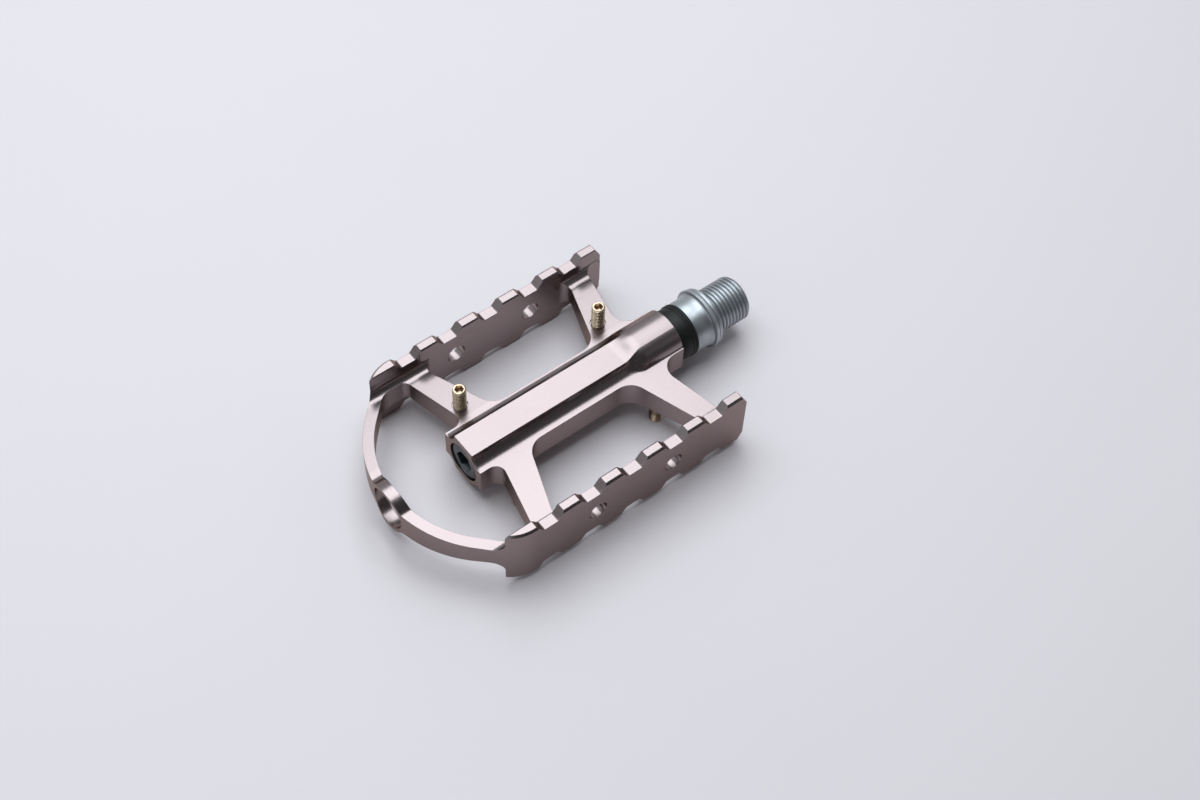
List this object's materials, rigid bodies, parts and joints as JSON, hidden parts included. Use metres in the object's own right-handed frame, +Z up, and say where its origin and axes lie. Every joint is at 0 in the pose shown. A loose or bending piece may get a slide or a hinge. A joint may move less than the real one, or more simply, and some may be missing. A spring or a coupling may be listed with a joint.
{
  "type": "bicycle platform pedal",
  "caption": "Open machined pedal cage with toothed rails, splayed arms and a hoop with an eye, turning on a steel spindle with a crank thread and traction pins.",
  "frame": {"origin": "on the spindle axis, at the shoulder face that seats against the crank arm", "axes": "+Y along the spindle towards the crank, +Z up out of the cage's upper face, +X towards the rail whose arms carry the lower pins"},
  "size_m": [0.071, 0.1265, 0.0232],
  "materials": {
    "anodised_aluminium": "glossy champagne anodising over machined aluminium",
    "zinc_plated_steel": "bright zinc plating over turned steel",
    "black_rubber": "moulded rubber, semi-matt",
    "bronze_bush": "sintered bronze",
    "black_anodised_aluminium": "dark anodising",
    "brass_pins": "machined brass",
    "bearing_steel": "ground and polished",
    "pressed_steel": "pressed strip"
  },
  "bodies": {
    "spindle": {"spindle": "zinc_plated_steel", "spindle_seal": "black_rubber", "thrust_washer": "bronze_bush", "lock_nut": "zinc_plated_steel"},
    "cage": {"cage_body": "anodised_aluminium", "inboard_bush": "bronze_bush", "needle_cup": "bearing_steel", "end_cap": "black_anodised_aluminium", "upper_inboard_pin": "brass_pins", "upper_outboard_pin": "brass_pins", "lower_inboard_pin": "brass_pins", "lower_outboard_pin": "brass_pins"},
    "needle_set": {"needle_rollers": "bearing_steel", "needle_retainer": "pressed_steel"}
  },
  "joints": [
    {"name": "cage_spin", "type": "hinge", "parent": "spindle", "child": "cage", "pos_m": [0, 0, 0], "axis": [0, 1, 0], "continuous": true},
    {"name": "needle_set_spin", "type": "hinge", "parent": "spindle", "child": "needle_set", "pos_m": [0, -0.074, 0], "axis": [0, 1, 0], "continuous": true}
  ],
  "couplings": [
    {"joint": "needle_set_spin", "follows": "cage_spin", "ratio": 0.6238}
  ]
}
